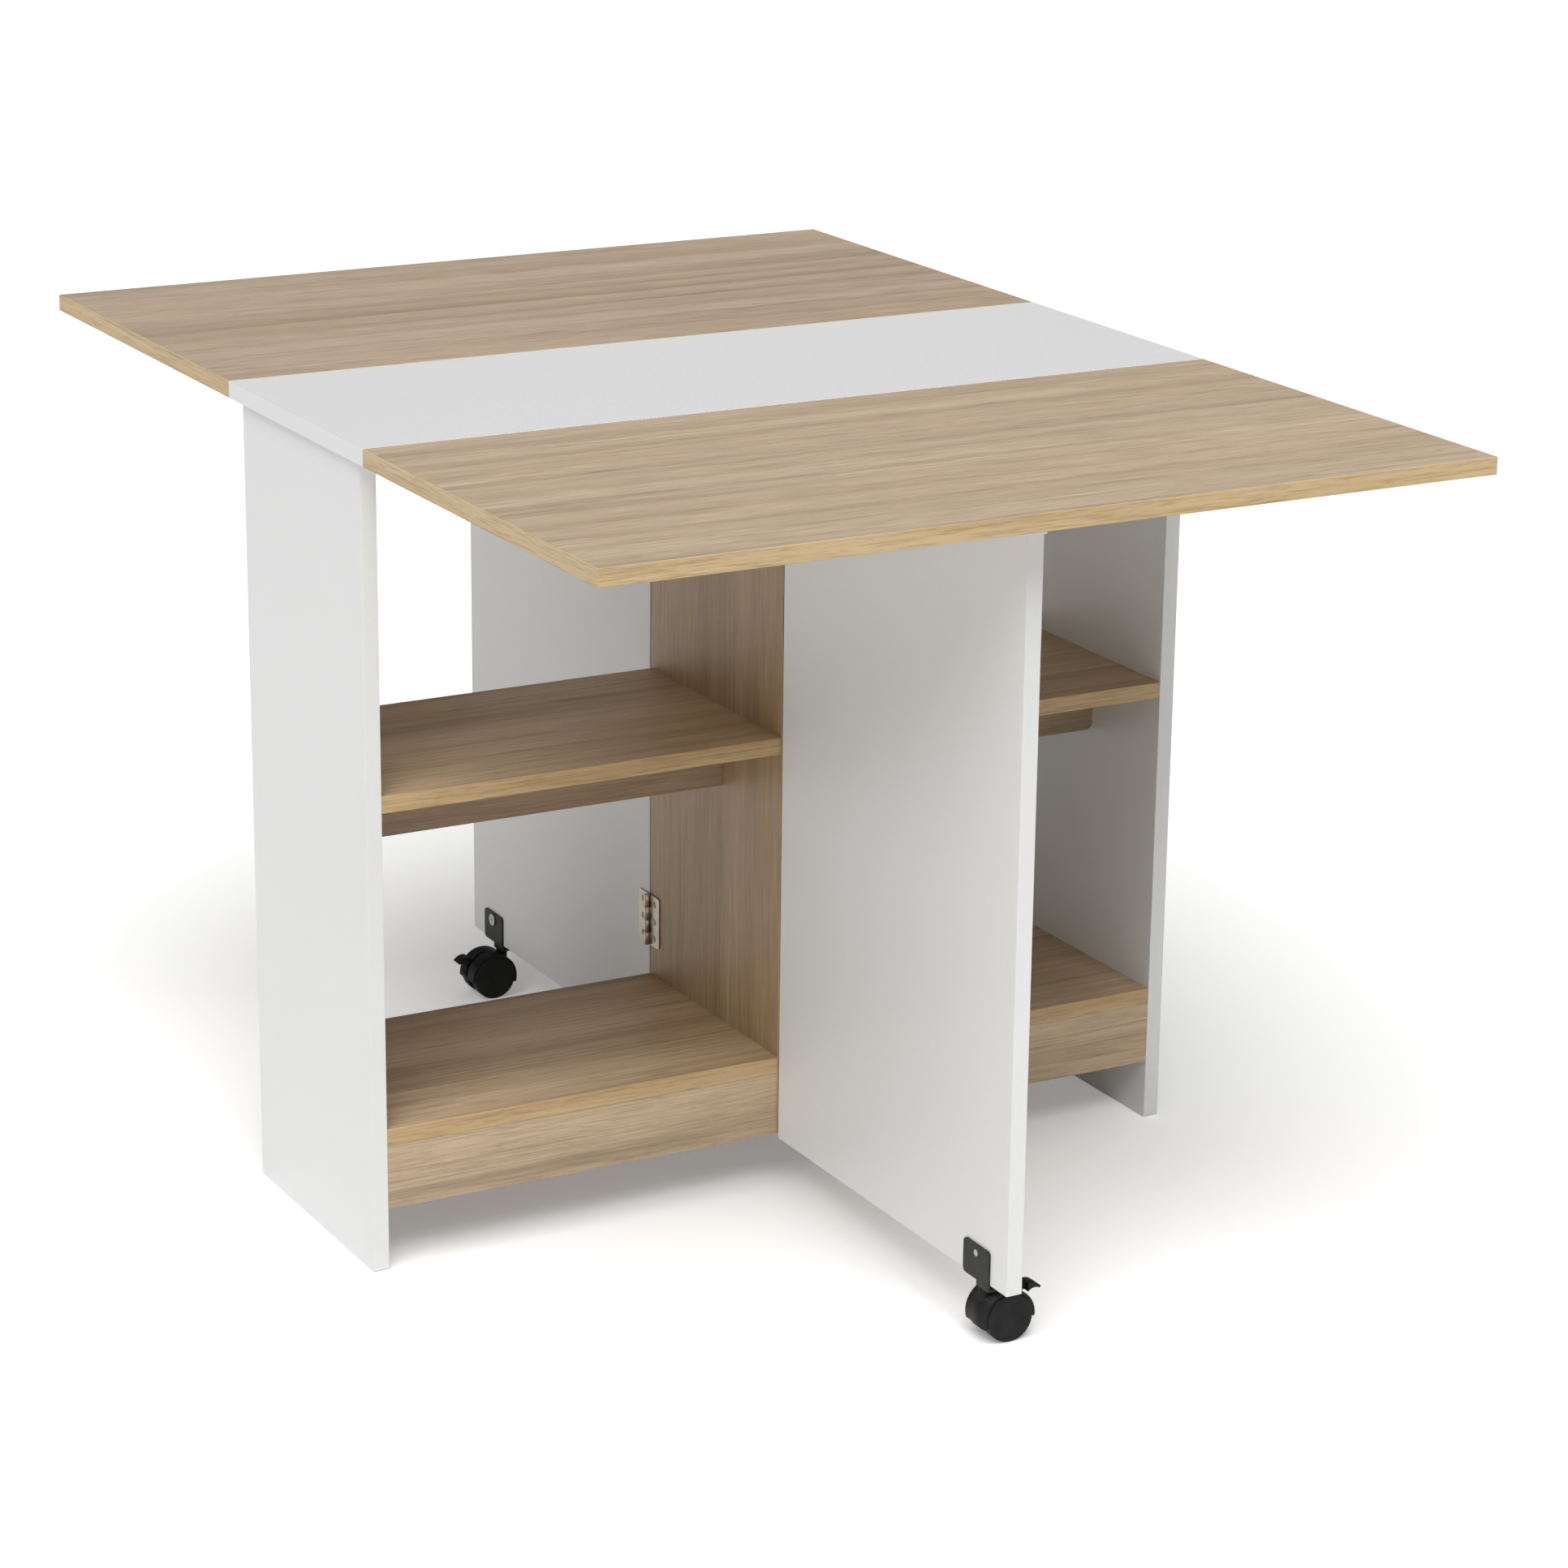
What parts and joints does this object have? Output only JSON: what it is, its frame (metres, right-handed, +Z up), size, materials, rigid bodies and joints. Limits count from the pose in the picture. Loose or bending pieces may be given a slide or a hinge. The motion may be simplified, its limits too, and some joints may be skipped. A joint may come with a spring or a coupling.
{
  "type": "gateleg table",
  "caption": "Gateleg table with a fixed strip and two hinged leaves, on a shelved base with fold-out gates that roll on braked casters.",
  "frame": {"origin": "on the floor, at the middle of the table", "axes": "+Z up, +Y across the open top from leaf to leaf, +X along the base and the joints of the top"},
  "size_m": [0.82, 1.15, 0.735],
  "materials": {
    "white_board": "white melamine foil, fine satin texture",
    "white_edge_band": "white plastic edge band, satin",
    "oak_board": "light oak print foil, satin",
    "oak_edge_band": "light oak edge band, satin",
    "zinc": "die-cast zinc",
    "bright_steel": "zinc-plated steel",
    "beech": "turned beech, fluted",
    "nickel": "nickel-plated steel, slightly warm",
    "cream_plastic": "creamy white plastic",
    "black_steel": "black powder coat, fine texture",
    "black_plastic": "black nylon, satin"
  },
  "bodies": {
    "base": {"top_strip": "white_board", "top_strip_edging": "white_edge_band", "left_end_panel": "white_board", "right_end_panel": "white_board", "end_panel_edging": "white_edge_band", "divider": "oak_board", "divider_edging": "oak_edge_band", "left_middle_shelf": "oak_board", "right_middle_shelf": "oak_board", "left_bottom_shelf": "oak_board", "right_bottom_shelf": "oak_board", "shelf_edging": "oak_edge_band", "front_left_plinth": "oak_board", "front_right_plinth": "oak_board", "rear_left_plinth": "oak_board", "rear_right_plinth": "oak_board", "left_rail": "oak_board", "right_rail": "oak_board", "cam_locks": "zinc", "cam_bolts": "bright_steel", "dowels": "beech", "gate_hinge_fixed_plates": "nickel", "leaf_hinge_fixed_plates": "nickel", "hinge_pins": "nickel", "base_hinge_screws": "nickel"},
    "front_gate": {"front_gate_panel": "white_board", "front_gate_edging": "white_edge_band", "front_support_block": "cream_plastic", "front_gate_hinge_plates": "nickel", "front_gate_screws": "nickel", "front_caster_bracket": "black_steel", "front_bracket_bolt": "bright_steel", "front_caster_stem": "black_steel"},
    "rear_gate": {"rear_gate_panel": "white_board", "rear_gate_edging": "white_edge_band", "rear_support_block": "cream_plastic", "rear_gate_hinge_plates": "nickel", "rear_gate_screws": "nickel", "rear_caster_bracket": "black_steel", "rear_bracket_bolt": "bright_steel", "rear_caster_stem": "black_steel"},
    "front_leaf": {"front_leaf_panel": "oak_board", "front_leaf_edging": "oak_edge_band", "front_leaf_hinge_plates": "nickel", "front_leaf_screws": "nickel"},
    "rear_leaf": {"rear_leaf_panel": "oak_board", "rear_leaf_edging": "oak_edge_band", "rear_leaf_hinge_plates": "nickel", "rear_leaf_screws": "nickel"},
    "front_caster": {"front_caster_hood": "black_plastic", "front_caster_pins": "bright_steel"},
    "front_brake": {"front_brake_lever": "black_plastic"},
    "front_inner_wheel": {"front_inner_wheel": "black_plastic"},
    "front_outer_wheel": {"front_outer_wheel": "black_plastic"},
    "rear_caster": {"rear_caster_hood": "black_plastic", "rear_caster_pins": "bright_steel"},
    "rear_brake": {"rear_brake_lever": "black_plastic"},
    "rear_inner_wheel": {"rear_inner_wheel": "black_plastic"},
    "rear_outer_wheel": {"rear_outer_wheel": "black_plastic"}
  },
  "joints": [
    {"name": "front_gate_swing", "type": "hinge", "parent": "base", "child": "front_gate", "pos_m": [0.0107, -0.127, 0.39], "axis": [0, 0, 1], "range_deg": [0, 90]},
    {"name": "rear_gate_swing", "type": "hinge", "parent": "base", "child": "rear_gate", "pos_m": [-0.0107, 0.127, 0.39], "axis": [0, 0, 1], "range_deg": [0, 90]},
    {"name": "front_leaf_lift", "type": "hinge", "parent": "base", "child": "front_leaf", "pos_m": [0, -0.1454, 0.7168], "axis": [-1, 0, 0], "range_deg": [0, 2]},
    {"name": "rear_leaf_lift", "type": "hinge", "parent": "base", "child": "rear_leaf", "pos_m": [0, 0.1454, 0.7168], "axis": [1, 0, 0], "range_deg": [0, 2]},
    {"name": "front_caster_swivel", "type": "hinge", "parent": "front_gate", "child": "front_caster", "pos_m": [-0.004, -0.484, 0.04], "axis": [0, 0, 1], "continuous": true},
    {"name": "front_inner_wheel_roll", "type": "hinge", "parent": "front_caster", "child": "front_inner_wheel", "pos_m": [0.011, -0.484, 0.0215], "axis": [0, 1, 0], "continuous": true},
    {"name": "front_outer_wheel_roll", "type": "hinge", "parent": "front_caster", "child": "front_outer_wheel", "pos_m": [0.011, -0.484, 0.0215], "axis": [0, 1, 0], "continuous": true},
    {"name": "front_brake_press", "type": "hinge", "parent": "front_caster", "child": "front_brake", "pos_m": [0.017, -0.484, 0.0355], "axis": [0, 1, 0], "range_deg": [0, 15]},
    {"name": "rear_caster_swivel", "type": "hinge", "parent": "rear_gate", "child": "rear_caster", "pos_m": [-0.004, 0.466, 0.04], "axis": [0, 0, 1], "continuous": true},
    {"name": "rear_inner_wheel_roll", "type": "hinge", "parent": "rear_caster", "child": "rear_inner_wheel", "pos_m": [-0.019, 0.466, 0.0215], "axis": [0, 1, 0], "continuous": true},
    {"name": "rear_outer_wheel_roll", "type": "hinge", "parent": "rear_caster", "child": "rear_outer_wheel", "pos_m": [-0.019, 0.466, 0.0215], "axis": [0, 1, 0], "continuous": true},
    {"name": "rear_brake_press", "type": "hinge", "parent": "rear_caster", "child": "rear_brake", "pos_m": [-0.025, 0.466, 0.0355], "axis": [0, -1, 0], "range_deg": [0, 15]}
  ]
}
